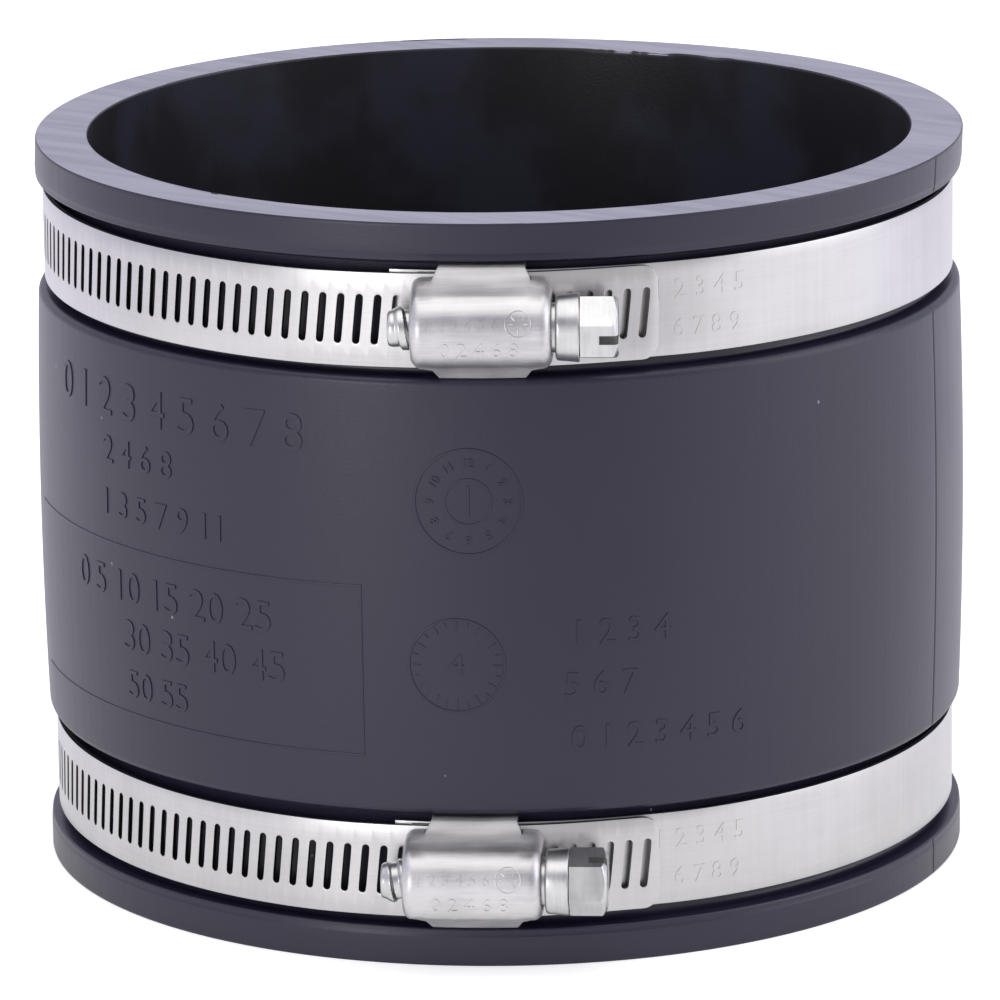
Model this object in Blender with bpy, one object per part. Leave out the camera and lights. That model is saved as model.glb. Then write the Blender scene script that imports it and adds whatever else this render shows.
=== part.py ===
"""Flexible pipe coupling.

A moulded rubber sleeve slides over the ends of two pipes, and a worm-drive band clamp in the groove at each
end presses it down on them. The coupling stands on its end: the pipe axis is Z, the origin is on that axis
at mid-height, and the clamp screws are at the front, -Y, with their heads towards +X.
"""
from math import atan2, ceil, cos, degrees, floor, pi, radians, sin, sqrt, tan, tau

import bmesh
import bpy
from mathutils import Vector

MM = 0.001

# Sleeve, one moulding whose bore fits the outside of the pipe
BORE_DIAMETER = 114.3 * MM
SLEEVE_LENGTH = 102.0 * MM
LIP_WALL = 7.25 * MM
LIP_HEIGHT = 5.2 * MM
GROOVE_WALL = 4.25 * MM
BELLY_WALL = 7.05 * MM
BELLY_CROWN = 0.55 * MM
BELLY_EDGE_RADIUS = 1.0 * MM
GROOVE_FILLET = 0.5 * MM
LIP_EDGE_RADIUS = 0.5 * MM
RIM_CHAMFER = 0.35 * MM

# Band, a perforated steel strip that goes once round and passes over its own inner end
BAND_WIDTH = 12.7 * MM
BAND_THICKNESS = 0.6 * MM
BAND_SHIFT = 0.2 * MM
TAIL_SKEW = 0.5 * MM
INNER_END_LENGTH = 11.8 * MM
TAIL_LENGTH = 23.8 * MM
TAIL_CORNER_RADIUS = 2.2 * MM
TAIL_LIFT = 0.5 * MM
TAIL_LIFT_LENGTH = 8.0 * MM
RISE_LENGTH = 14.0 * MM
CLIMB_LENGTH = 85.0 * MM
SLOT_LENGTH = 6.8 * MM
SLOT_WIDTH = 1.05 * MM
SLOT_TO_TAIL = 1.9 * MM
SLOT_COUNT = 51

# Housing, a pressed sheet dome over the screw with two tabs folded under the band
HOUSING_LENGTH = 18.6 * MM
HOUSING_SHEET = 0.5 * MM
DOME_RADIUS = 5.35 * MM
DOME_END_RADIUS = 1.6 * MM
DOME_ARC_HALF_ANGLE = radians(66)
CREASE_HALF_WIDTH = 5.85 * MM
CREASE_DEPTH = 0.3 * MM
FOOT_HALF_WIDTH = 6.0 * MM
TAB_ROOT_WIDTH = 13.1 * MM
TAB_TIP_WIDTH = 11.4 * MM
TAB_BEND = 0.4 * MM
FOLD_LENGTH = 3.4 * MM

# Saddle, the plate under the screw that the housing is folded round
SADDLE_LENGTH = 17.0 * MM
SADDLE_THICKNESS = 0.4 * MM

# Screw, with its thread, collar and slotted hexagon head in one piece
THREAD_PITCH = 2.54 * MM
THREAD_RADIUS = 4.3 * MM
ROOT_RADIUS = 3.3 * MM
CREST_WIDTH = 0.45 * MM
FLANK_ANGLE = radians(12)
THREAD_ENGAGEMENT = 0.45 * MM
PILOT_RADIUS = 2.95 * MM
PILOT_LENGTH = 3.0 * MM
PILOT_CHAMFER = 1.0 * MM
COLLAR_RADIUS = 4.3 * MM
COLLAR_RIM_RADIUS = 4.65 * MM
COLLAR_LENGTH = 3.15 * MM
COLLAR_CHAMFER = 0.3 * MM
HEX_ACROSS_FLATS = 7.94 * MM
HEX_LENGTH = 5.1 * MM
HEX_CHAMFER = 0.45 * MM
DRIVER_SLOT_WIDTH = 1.3 * MM
DRIVER_SLOT_DEPTH = 2.5 * MM

# Clearances, the first under the slack band
SEAT_GAP = 1.25 * MM
LAYER_GAP = 0.15 * MM
EDGE_GAP = 0.5 * MM
FOOT_GAP = 0.3 * MM
GROOVE_BELLY_GAP = 0.25 * MM
GROOVE_LIP_GAP = 0.4 * MM
COLLAR_GAP = 0.45 * MM
THREAD_END_GAP = 0.5 * MM

# How far each screw turns from the rest position
TIGHTEN_TURNS = 5
LOOSEN_TURNS = 3
TRAVEL_MARGIN = 1.0 * MM

# Each clamp's name, side, turn about the pipe, turns that its screw is ahead, and the turn of its hexagon
# and of its driver slot
CLAMPS = (
    ("upper", 1, radians(-2.08), -0.17, radians(-14.4), radians(13)),
    ("lower", -1, radians(-3.85), 0.42, radians(18), radians(-62)),
)

# Facets
SLEEVE_SEGMENTS = 64
SCREW_SEGMENTS = 24
DOME_ARC_STEPS = 10
BAND_STEP = radians(5.6)

# Radii that follow from the stack under the screw, from the sleeve outwards
BORE_RADIUS = BORE_DIAMETER / 2
GROOVE_RADIUS = BORE_RADIUS + GROOVE_WALL
SEAT_RADIUS = GROOVE_RADIUS + SEAT_GAP
FOLD_RADIUS = GROOVE_RADIUS + LAYER_GAP
LIFT_RADIUS = FOLD_RADIUS + HOUSING_SHEET + LAYER_GAP
SADDLE_RADIUS = LIFT_RADIUS + BAND_THICKNESS + LAYER_GAP
TOP_RADIUS = SADDLE_RADIUS + SADDLE_THICKNESS + LAYER_GAP
BAND_OUTER_RADIUS = TOP_RADIUS + BAND_THICKNESS
PITCH_RADIUS = TOP_RADIUS + BAND_THICKNESS / 2
SCREW_AXIS_RADIUS = BAND_OUTER_RADIUS + THREAD_RADIUS - THREAD_ENGAGEMENT

# Heights and widths that follow from what the groove has to hold
TAB_HALF_WIDTH = BAND_WIDTH / 2 + BAND_SHIFT + EDGE_GAP + HOUSING_SHEET
CLAMP_HEIGHT = SLEEVE_LENGTH / 2 - LIP_HEIGHT - GROOVE_LIP_GAP - TAB_HALF_WIDTH
BELLY_HALF_HEIGHT = CLAMP_HEIGHT - TAB_HALF_WIDTH - GROOVE_BELLY_GAP

# Angles round the pipe, from the middle of the housing
SLOT_STEP = THREAD_PITCH / PITCH_RADIUS
TAIL_ANGLE = tau + TAIL_LENGTH / PITCH_RADIUS
INNER_END_ANGLE = -INNER_END_LENGTH / LIFT_RADIUS
LAST_SLOT_ANGLE = TAIL_ANGLE - SLOT_TO_TAIL / PITCH_RADIUS
FIRST_SLOT_ANGLE = LAST_SLOT_ANGLE - (SLOT_COUNT - 1) * SLOT_STEP
RISE_START = (HOUSING_LENGTH / 2 + LOOSEN_TURNS * THREAD_PITCH + TRAVEL_MARGIN) / LIFT_RADIUS
RISE_END = RISE_START + RISE_LENGTH / SEAT_RADIUS
CLIMB_END = tau - (HOUSING_LENGTH / 2 + TIGHTEN_TURNS * THREAD_PITCH + TRAVEL_MARGIN) / PITCH_RADIUS
CLIMB_START = CLIMB_END - CLIMB_LENGTH / PITCH_RADIUS
SLOT_LEAN = atan2(THREAD_PITCH, tau * (THREAD_RADIUS + ROOT_RADIUS) / 2)

# Places along the screw, from the middle of the housing towards the head
THREAD_HALF_LENGTH = HOUSING_LENGTH / 2 - HOUSING_SHEET - THREAD_END_GAP
COLLAR_START = HOUSING_LENGTH / 2 + COLLAR_GAP
HEX_START = COLLAR_START + COLLAR_LENGTH
HEX_END = HEX_START + HEX_LENGTH


def clear_scene():
    """Remove whatever the scene holds."""
    for old in list(bpy.data.objects):
        bpy.data.objects.remove(old, do_unlink=True)


def make_material(name, colour, roughness, metallic):
    """A Principled material with one colour, roughness and metallic value."""
    material = bpy.data.materials.new(name)
    material.use_nodes = True
    shader = material.node_tree.nodes["Principled BSDF"]
    shader.inputs["Base Color"].default_value = (*colour, 1.0)
    shader.inputs["Roughness"].default_value = roughness
    shader.inputs["Metallic"].default_value = metallic
    return material


def mesh_from(name, bm, smooth_angle=35):
    """Turn a bmesh into a mesh that is smooth except at edges sharper than the given angle."""
    mesh = bpy.data.meshes.new(name)
    bm.to_mesh(mesh)
    bm.free()
    mesh.shade_smooth()
    mesh.set_sharp_from_angle(angle=radians(smooth_angle))
    return mesh


def add_object(name, mesh, material, parent=None):
    """Put a mesh in the scene under its own name, carried by an optional parent."""
    obj = bpy.data.objects.new(name, mesh)
    bpy.context.scene.collection.objects.link(obj)
    if material:
        obj.data.materials.append(material)
    obj.parent = parent
    return obj


def arc(centre, radius, start, end, steps):
    """Points along an arc in a plane, its angles in degrees."""
    turns = [radians(start + (end - start) * i / steps) for i in range(steps + 1)]
    return [(centre[0] + radius * cos(t), centre[1] + radius * sin(t)) for t in turns]


def ease(value, start, end):
    """Rise smoothly from 0 at the start to 1 at the end."""
    share = min(max((value - start) / (end - start), 0.0), 1.0)
    return share * share * (3 - 2 * share)


# Sleeve

def belly_radius(height):
    """The belly's outer radius, largest at mid-height."""
    return BORE_RADIUS + BELLY_WALL + BELLY_CROWN * (1 - (height / BELLY_HALF_HEIGHT) ** 2)


def sleeve_half_profile():
    """Radius and height from the middle of the belly up over the lip and into the bore."""
    top = SLEEVE_LENGTH / 2
    lip_radius = BORE_RADIUS + LIP_WALL
    lip_bottom = top - LIP_HEIGHT
    belly_top = BELLY_HALF_HEIGHT - BELLY_EDGE_RADIUS
    belly_edge = (belly_radius(belly_top) - BELLY_EDGE_RADIUS, belly_top)
    fillet = GROOVE_FILLET
    points = [(belly_radius(belly_top * share), belly_top * share) for share in (0, 0.4, 0.75)]
    points += arc(belly_edge, BELLY_EDGE_RADIUS, 0, 90, 2)
    points += arc((GROOVE_RADIUS + fillet, BELLY_HALF_HEIGHT + fillet), fillet, 270, 180, 1)
    points += arc((GROOVE_RADIUS + fillet, lip_bottom - fillet), fillet, 180, 90, 1)
    points += arc((lip_radius - LIP_EDGE_RADIUS, lip_bottom + LIP_EDGE_RADIUS), LIP_EDGE_RADIUS, -90, 0, 1)
    points += [(lip_radius, top - RIM_CHAMFER), (lip_radius - RIM_CHAMFER, top)]
    points += [(BORE_RADIUS + RIM_CHAMFER, top), (BORE_RADIUS, top - RIM_CHAMFER)]
    return points


def sleeve_mesh():
    """The sleeve's section, closed by its mirror image, spun once round the pipe axis."""
    upper = sleeve_half_profile()
    section = upper + [(radius, -height) for radius, height in reversed(upper[1:])]
    bm = bmesh.new()
    points = [bm.verts.new((radius, 0, height)) for radius, height in section]
    edges = [bm.edges.new((points[i - 1], points[i])) for i in range(len(points))]
    bmesh.ops.spin(bm, geom=points + edges, cent=(0, 0, 0), axis=(0, 0, 1), angle=tau,
                   steps=SLEEVE_SEGMENTS, use_merge=True)
    bmesh.ops.recalc_face_normals(bm, faces=bm.faces)
    return mesh_from("coupling_sleeve", bm)


# Band

def band_face_radius(angle):
    """Radius of the strip's inner face. From its inner end the strip lies over the folded tabs, springs out
    while it is slack, goes round, climbs over its own inner end and lifts a little at the tail."""
    rise = (SEAT_RADIUS - LIFT_RADIUS) * ease(angle, RISE_START, RISE_END)
    climb = (TOP_RADIUS - SEAT_RADIUS) * ease(angle, CLIMB_START, CLIMB_END)
    lift_start = TAIL_ANGLE - TAIL_LIFT_LENGTH / PITCH_RADIUS
    lift = max((angle - lift_start) / (TAIL_ANGLE - lift_start), 0.0)
    return LIFT_RADIUS + rise + climb + TAIL_LIFT * lift ** 2


def band_shift(angle):
    """How far the strip lies to one side: its two layers don't quite line up, and the tail runs askew."""
    layer = BAND_SHIFT * (1 - 2 * ease(angle, CLIMB_START, CLIMB_END))
    askew = max((angle - CLIMB_END) / (TAIL_ANGLE - CLIMB_END), 0.0)
    return layer + TAIL_SKEW * askew


def slot_outline(angle):
    """One slot's outline, with round ends, leaning as the screw's thread does, as angle and width pairs."""
    radius = SLOT_WIDTH / 2
    reach = SLOT_LENGTH / 2 - radius
    outline = arc((0, reach), radius, 180, 0, 3) + arc((0, -reach), radius, 0, -180, 3)
    placed = []
    for across, along in outline:
        offset = across * cos(SLOT_LEAN) + along * sin(SLOT_LEAN)
        placed.append((angle + offset / PITCH_RADIUS, along * cos(SLOT_LEAN) - across * sin(SLOT_LEAN)))
    return placed


def round_pipe(angle, radius, height):
    """A point at an angle from the front, a radius and a height."""
    return Vector((radius * sin(angle), -radius * cos(angle), height))


def solid_from_blank(points, faces, outer, inner):
    """Close a flat blank into sheet metal: its two faces are placed by two rules and joined at every edge."""
    bm = bmesh.new()
    outside = [bm.verts.new(outer(*point)) for point in points]
    inside = [bm.verts.new(inner(*point)) for point in points]
    used = set()
    for face in faces:
        bm.faces.new([outside[i] for i in face])
        bm.faces.new([inside[i] for i in reversed(face)])
        used.update(zip(face, face[1:] + face[:1]))
    for start, end in used:
        if (end, start) not in used:
            bm.faces.new((outside[end], outside[start], inside[start], inside[end]))
    bmesh.ops.recalc_face_normals(bm, faces=bm.faces)
    return bm


def band_blank():
    """The strip laid flat as angle and width pairs: plain at first, then one cell for each slot, then the
    rounded tail. Each slot's outline starts at its upper left and goes clockwise."""
    half = BAND_WIDTH / 2
    points, faces = [], []

    def add(*pairs):
        """Add points and give back their numbers."""
        points.extend(pairs)
        return list(range(len(points) - len(pairs), len(points)))

    slotted_start = FIRST_SLOT_ANGLE - SLOT_STEP / 2
    plain_steps = ceil((slotted_start - INNER_END_ANGLE) / BAND_STEP)
    bottom, top = add((INNER_END_ANGLE, -half), (INNER_END_ANGLE, half))
    for i in range(1, plain_steps + 1):
        angle = INNER_END_ANGLE + (slotted_start - INNER_END_ANGLE) * i / plain_steps
        next_bottom, next_top = add((angle, -half), (angle, half))
        faces.append([bottom, next_bottom, next_top, top])
        bottom, top = next_bottom, next_top
    for number in range(SLOT_COUNT):
        angle = FIRST_SLOT_ANGLE + number * SLOT_STEP
        s = add(*slot_outline(angle))
        if number < SLOT_COUNT - 1:
            right = add((angle + SLOT_STEP / 2, -half), (angle + SLOT_STEP / 2, half))
        else:
            right = add(*tail_outline(half))
        faces += [[bottom, s[7], s[0], top], [top, s[0], s[1]], [top, s[1], s[2], right[-1]],
                  [right[-1], s[2], s[3]], [s[4], *right, s[3]], [s[4], s[5], right[0]],
                  [s[5], s[6], bottom, right[0]], [s[6], s[7], bottom]]
        bottom, top = right[0], right[-1]
    return points, faces


def tail_outline(half):
    """The strip's end from its lower edge to its upper edge, with rounded corners."""
    corner = TAIL_CORNER_RADIUS
    end = TAIL_LENGTH - corner
    outline = arc((end, -half + corner), corner, -90, 0, 2) + arc((end, half - corner), corner, 0, 90, 2)
    return [(tau + along / PITCH_RADIUS, width) for along, width in outline]


def band_mesh():
    """The blank bent round the groove."""
    points, faces = band_blank()
    return mesh_from("band", solid_from_blank(
        points, faces,
        outer=lambda a, w: round_pipe(a, band_face_radius(a) + BAND_THICKNESS, w + band_shift(a)),
        inner=lambda a, w: round_pipe(a, band_face_radius(a), w + band_shift(a))))


# Saddle

def saddle_mesh():
    """A plate as wide as the band, bent to the same round."""
    steps = 6
    half_angle = SADDLE_LENGTH / 2 / SADDLE_RADIUS
    half = BAND_WIDTH / 2
    angles = [half_angle * (2 * i / steps - 1) for i in range(steps + 1)]
    points = [(a, w) for a in angles for w in (-half, half)]
    faces = [[2 * i, 2 * i + 2, 2 * i + 3, 2 * i + 1] for i in range(steps)]
    return mesh_from("saddle", solid_from_blank(
        points, faces,
        outer=lambda a, w: round_pipe(a, SADDLE_RADIUS + SADDLE_THICKNESS, w),
        inner=lambda a, w: round_pipe(a, SADDLE_RADIUS, w)))


# Housing

def dome_section(inset):
    """Half width and radius pairs over the dome, from the lower foot to the upper one, drawn in by an inset."""
    reach = degrees(DOME_ARC_HALF_ANGLE)
    arch = arc((SCREW_AXIS_RADIUS, 0), DOME_RADIUS - inset, -reach, reach, DOME_ARC_STEPS)
    over = [(width, radius) for radius, width in arch]
    crease = (CREASE_HALF_WIDTH - inset, SCREW_AXIS_RADIUS - CREASE_DEPTH)
    foot = (FOOT_HALF_WIDTH - inset, BAND_OUTER_RADIUS + FOOT_GAP)
    lower = [(-foot[0], foot[1]), (-crease[0], crease[1])]
    return lower + over + [crease, foot]


def tab_section():
    """Half width and radius pairs down a tab, past the band's edge and along the fold under it."""
    side = TAB_HALF_WIDTH
    return [(side, BAND_OUTER_RADIUS), (side, FOLD_RADIUS + TAB_BEND), (side - TAB_BEND, FOLD_RADIUS),
            (side - FOLD_LENGTH, FOLD_RADIUS)]


def sag(x, radius):
    """How far a round of this radius falls away from its top at a distance to the side."""
    return radius - sqrt(radius ** 2 - x ** 2)


def housing_mesh():
    """The housing's outer skin: dome sections set along the screw, rounded in at both ends, and a tab hung
    from the crease on each side. The skin is given its thickness by a modifier."""
    half = HOUSING_LENGTH / 2
    tab_half = TAB_ROOT_WIDTH / 2
    stations = [(-half + DOME_END_RADIUS * (1 - sin(radians(t))), DOME_END_RADIUS * (1 - cos(radians(t))))
                for t in (90, 60, 30, 0)]
    stations += [(tab_half * share, 0.0) for share in (-1, -0.5, 0, 0.5, 1)]
    stations += [(-x, inset) for x, inset in reversed(stations[:4])]
    tab_columns = range(4, 9)
    bm = bmesh.new()
    rows = []
    for x, inset in stations:
        section = dome_section(inset)
        feet = (0, len(section) - 1)
        rows.append([bm.verts.new((x, -radius + (sag(x, BAND_OUTER_RADIUS) if j in feet else 0), width))
                     for j, (width, radius) in enumerate(section)])
    last = len(rows[0]) - 1
    for i in range(len(rows) - 1):
        under_tab = i in tab_columns[:-1]
        for j in range(last):
            if not (under_tab and j in (0, last - 1)):
                bm.faces.new((rows[i][j], rows[i + 1][j], rows[i + 1][j + 1], rows[i][j + 1]))
    for side, crease in ((-1, 1), (1, last - 1)):
        previous = [rows[i][crease] for i in tab_columns]
        for width, radius in tab_section():
            narrowing = TAB_TIP_WIDTH / TAB_ROOT_WIDTH
            line = []
            for i in tab_columns:
                x = stations[i][0] * narrowing
                line.append(bm.verts.new((x, -radius + sag(x, radius), side * width)))
            for i in range(len(line) - 1):
                bm.faces.new((previous[i], previous[i + 1], line[i + 1], line[i]))
            previous = line
    bmesh.ops.delete(bm, geom=[v for v in bm.verts if not v.link_faces], context="VERTS")
    bmesh.ops.recalc_face_normals(bm, faces=bm.faces)
    crown = min(bm.faces, key=lambda face: face.calc_center_median().y)
    if crown.normal.y > 0:
        bmesh.ops.reverse_faces(bm, faces=bm.faces)
    return mesh_from("housing", bm)


def add_housing(name, mesh, material, parent):
    """The housing skin with its sheet thickness inside it."""
    housing = add_object(name, mesh, material, parent)
    sheet = housing.modifiers.new("Sheet", "SOLIDIFY")
    sheet.thickness = HOUSING_SHEET
    sheet.offset = -1
    sheet.use_even_offset = True
    return housing


# Screw

def hex_radius(turn):
    """Radius of a hexagon with a corner at turn 0."""
    return HEX_ACROSS_FLATS / 2 / cos((turn % (pi / 3)) - pi / 6)


def thread_rows(phase):
    """Rows of points along the helix, four to each turn: foot, crest, crest and foot. A point's turn is
    counted from the side that faces the band. The thread rises and falls over half a turn at its ends."""
    flank = (THREAD_RADIUS - ROOT_RADIUS) * tan(FLANK_ANGLE)
    crest = CREST_WIDTH / 2
    profile = ((-crest - flank, 0), (-crest, 1), (crest, 1), (crest + flank, 0))
    first = ceil((-THREAD_HALF_LENGTH - phase + crest + flank) / THREAD_PITCH)
    turns = floor((THREAD_HALF_LENGTH - crest - flank - phase) / THREAD_PITCH) - first
    run_out = 0.5
    rows = []
    for turn in range(turns):
        for offset, high in profile:
            row = []
            for j in range(SCREW_SEGMENTS):
                along = turn + j / SCREW_SEGMENTS
                near_end = min(along, turns - along) - 1 / SCREW_SEGMENTS
                height = high * min(max(near_end / run_out, 0.0), 1.0)
                x = phase + THREAD_PITCH * (first + along) + offset
                row.append((x, ROOT_RADIUS + (THREAD_RADIUS - ROOT_RADIUS) * height))
            rows.append(row)
    return rows


def screw_mesh(name, turns_ahead, hex_turn):
    """The screw along X: plain rings from the pilot tip to the root, the thread as one helical strip, and
    plain rings again from the root through the collar to the hexagon."""
    bm = bmesh.new()
    n = SCREW_SEGMENTS
    phase = PITCH_RADIUS * (LAST_SLOT_ANGLE - tau) + turns_ahead * THREAD_PITCH

    def ring(x, radius):
        """A ring of points. The radius is a number or a function of the turn."""
        turns = [tau * j / n for j in range(n)]
        sizes = [radius(t) if callable(radius) else radius for t in turns]
        return [bm.verts.new((x, r * cos(t), r * sin(t))) for t, r in zip(turns, sizes)]

    def join(before, after):
        """Faces between two rings, the second further towards the head."""
        for j in range(n):
            k = (j + 1) % n
            bm.faces.new((before[j], before[k], after[k], after[j]))

    tip = -HOUSING_LENGTH / 2 - PILOT_LENGTH
    pilot_end = -THREAD_HALF_LENGTH - LAYER_GAP
    low = [ring(tip, PILOT_RADIUS - PILOT_CHAMFER), ring(tip + PILOT_CHAMFER, PILOT_RADIUS),
           ring(pilot_end, PILOT_RADIUS), ring(-THREAD_HALF_LENGTH, ROOT_RADIUS)]
    bm.faces.new(list(reversed(low[0])))
    for before, after in zip(low, low[1:]):
        join(before, after)

    rows = [[bm.verts.new((x, r * cos(tau * j / n), r * sin(tau * j / n))) for j, (x, r) in enumerate(row)]
            for row in thread_rows(phase)]
    for m in range(len(rows) - 1):
        for j in range(n - 1):
            bm.faces.new((rows[m][j], rows[m][j + 1], rows[m + 1][j + 1], rows[m + 1][j]))
    for m in range(len(rows) - 5):
        bm.faces.new((rows[m][-1], rows[m + 4][0], rows[m + 5][0], rows[m + 1][-1]))

    high = [ring(THREAD_HALF_LENGTH, ROOT_RADIUS), ring(COLLAR_START, ROOT_RADIUS),
            ring(COLLAR_START, COLLAR_RADIUS - COLLAR_CHAMFER),
            ring(COLLAR_START + COLLAR_CHAMFER, COLLAR_RADIUS),
            ring(HEX_START, COLLAR_RIM_RADIUS),
            ring(HEX_START, hex_radius), ring(HEX_END - HEX_CHAMFER, hex_radius),
            ring(HEX_END, HEX_ACROSS_FLATS / 2 - HEX_CHAMFER / 2)]
    for before, after in zip(high, high[1:]):
        join(before, after)
    bm.faces.new(high[-1])

    start, end = low[-1], high[0]
    for j in range(n - 1):
        bm.faces.new((start[j], start[j + 1], rows[0][j + 1], rows[0][j]))
        bm.faces.new((rows[-1][j], rows[-1][j + 1], end[j + 1], end[j]))
    bm.faces.new((start[-1], start[0], *[rows[m][0] for m in range(5)], rows[0][-1]))
    bm.faces.new((end[0], end[-1], *[rows[m][-1] for m in range(-1, -6, -1)], rows[-1][0]))

    for vert in high[-3] + high[-2]:
        vert.co.yz = turned(vert.co.y, vert.co.z, hex_turn)
    bmesh.ops.recalc_face_normals(bm, faces=bm.faces)
    return mesh_from(name, bm, smooth_angle=30)


def turned(y, z, turn):
    """A point turned about the screw's axis."""
    return (y * cos(turn) - z * sin(turn), y * sin(turn) + z * cos(turn))


def add_screw(name, material, parent, turns_ahead, hex_turn, slot_turn):
    """A screw on its own axis, with the driver slot cut across its head."""
    screw = add_object(name, screw_mesh(name, turns_ahead, hex_turn), material, parent)
    screw.location = (0, -SCREW_AXIS_RADIUS, 0)
    bm = bmesh.new()
    bmesh.ops.create_cube(bm, size=1)
    size = (2 * DRIVER_SLOT_DEPTH, 2 * HEX_ACROSS_FLATS, DRIVER_SLOT_WIDTH)
    bmesh.ops.scale(bm, vec=size, verts=bm.verts)
    cutter = add_object(name + "_driver_slot", mesh_from(name + "_driver_slot", bm), None, screw)
    cutter.location = (HEX_END, 0, 0)
    cutter.rotation_euler = (slot_turn, 0, 0)
    cutter.hide_render = True
    cutter.display_type = "WIRE"
    cut = screw.modifiers.new("Driver slot", "BOOLEAN")
    cut.operation = "DIFFERENCE"
    cut.object = cutter
    return screw


def build():
    """The sleeve, and on each end of it one clamp round an empty on the pipe axis."""
    clear_scene()
    rubber = make_material("rubber", (0.045, 0.045, 0.055), 0.55, 0.0)
    strip_steel = make_material("strip_steel", (0.62, 0.61, 0.60), 0.35, 1.0)
    pressed_steel = make_material("pressed_steel", (0.66, 0.65, 0.65), 0.28, 1.0)
    saddle_steel = make_material("saddle_steel", (0.55, 0.54, 0.53), 0.4, 1.0)
    screw_steel = make_material("screw_steel", (0.64, 0.64, 0.65), 0.25, 1.0)
    add_object("coupling_sleeve", sleeve_mesh(), rubber)
    band = band_mesh()
    saddle = saddle_mesh()
    housing = housing_mesh()
    band.materials.append(strip_steel)
    saddle.materials.append(saddle_steel)
    housing.materials.append(pressed_steel)
    for name, side, turn, turns_ahead, hex_turn, slot_turn in CLAMPS:
        clamp = bpy.data.objects.new(name + "_clamp", None)
        bpy.context.scene.collection.objects.link(clamp)
        clamp.location = (0, 0, side * CLAMP_HEIGHT)
        clamp.rotation_euler = (0, 0, turn)
        strip = add_object(name + "_band", band, None, clamp)
        strip.rotation_euler = (0, 0, turns_ahead * SLOT_STEP)
        add_object(name + "_saddle", saddle, None, clamp)
        add_housing(name + "_housing", housing, None, clamp)
        add_screw(name + "_screw", screw_steel, clamp, turns_ahead, hex_turn, slot_turn)


build()
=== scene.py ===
"""Flexible pipe coupling, dressed: a moulded rubber sleeve with a worm-drive band clamp in the groove at
each end. Lengths are in millimetres inside the sections and turned into metres where a mesh is made. The
pipe axis is Z, the origin is on it at mid-height, and the clamp screws are at the front, -Y."""
from math import cos, pi, radians, sin, tau

import bmesh
import bpy
import numpy as np
from mathutils import Matrix, Vector


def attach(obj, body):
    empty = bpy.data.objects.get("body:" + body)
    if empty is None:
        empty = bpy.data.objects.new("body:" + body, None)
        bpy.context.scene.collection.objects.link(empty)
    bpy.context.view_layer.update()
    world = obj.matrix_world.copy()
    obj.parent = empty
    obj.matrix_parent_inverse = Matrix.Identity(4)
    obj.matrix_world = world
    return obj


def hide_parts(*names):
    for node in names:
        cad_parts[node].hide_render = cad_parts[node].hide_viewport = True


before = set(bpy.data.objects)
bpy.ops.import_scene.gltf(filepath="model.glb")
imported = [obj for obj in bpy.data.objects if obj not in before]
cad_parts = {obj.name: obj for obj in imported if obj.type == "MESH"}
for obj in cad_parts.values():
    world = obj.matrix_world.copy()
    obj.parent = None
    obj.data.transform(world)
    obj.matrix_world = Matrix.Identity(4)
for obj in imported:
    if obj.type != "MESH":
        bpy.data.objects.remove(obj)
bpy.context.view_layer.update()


# Sleeve. One thick ring of soft PVC rubber, injection moulded: a crowned belly between two grooves for the
# bands, and a lip at each end. Its ends are trimmed after moulding, which leaves a paler face with knife
# marks. Their pale colour is partly the cut rubber and partly a painted sheen. The two halves of the mould
# leave a thin line down each side.

BORE = 57.15
HALF_LENGTH = 51.0
GROOVE = 61.4
BELLY_HALF = 30.05
BELLY_WALL = 7.05
BELLY_CROWN = 0.55
LIP_RADIUS = 64.4
LIP_FOOT = 45.8
OUTSIDE = 64.5
SHOULDER = 1.1
MOULD_LINES = (67.0, -113.0)
SAG_AT = radians(163)


def bow(centre, radius, start, end, count):
    """Points on an arc, its angles in degrees: centre plus radius times cosine and sine of each angle."""
    turn = np.radians(np.linspace(start, end, count))
    return np.stack([centre[0] + radius * np.cos(turn), centre[1] + radius * np.sin(turn)], axis=1)


def belly_radius(height):
    """The bore and the wall, and a crown that falls away with the square of the distance from mid-height."""
    return BORE + BELLY_WALL + BELLY_CROWN * (1 - (height / BELLY_HALF) ** 2)


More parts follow.
